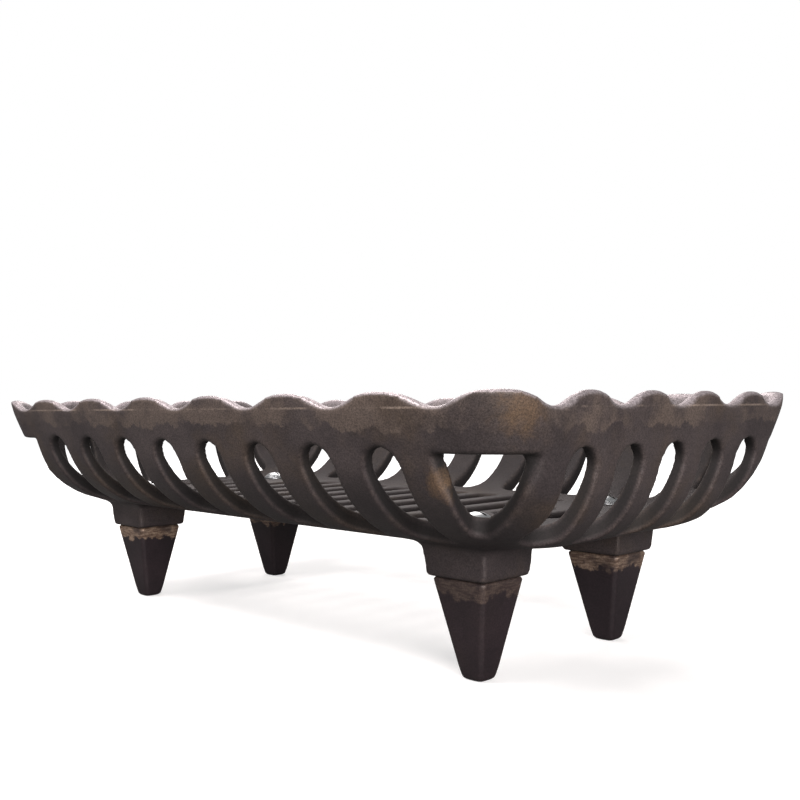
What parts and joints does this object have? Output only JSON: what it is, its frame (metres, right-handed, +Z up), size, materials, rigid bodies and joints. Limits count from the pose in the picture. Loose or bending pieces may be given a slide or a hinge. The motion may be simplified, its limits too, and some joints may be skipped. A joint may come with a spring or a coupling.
{
  "type": "fireplace log grate",
  "caption": "Cast-iron log grate: a flared slotted basket with a scalloped rim, standing on bolted square tapered legs.",
  "frame": {"origin": "on the ground, under the middle of the basket", "axes": "+X along the length of the basket, +Y from the front long side to the back one, +Z up"},
  "size_m": [0.562, 0.338, 0.1732],
  "materials": {
    "cast_iron": "matte sand-cast",
    "cast_iron_legs": "matte sand-cast, darker",
    "zinc_plated_steel": "bright zinc plate"
  },
  "bodies": {
    "root": {"basket": "cast_iron", "leg_front_left": "cast_iron_legs", "leg_front_right": "cast_iron_legs", "leg_back_right": "cast_iron_legs", "leg_back_left": "cast_iron_legs", "leg_bolt_front_left": "zinc_plated_steel", "leg_bolt_front_right": "zinc_plated_steel", "leg_bolt_back_right": "zinc_plated_steel", "leg_bolt_back_left": "zinc_plated_steel", "washer_front_left": "zinc_plated_steel", "washer_front_right": "zinc_plated_steel", "washer_back_right": "zinc_plated_steel", "washer_back_left": "zinc_plated_steel"}
  },
  "joints": []
}
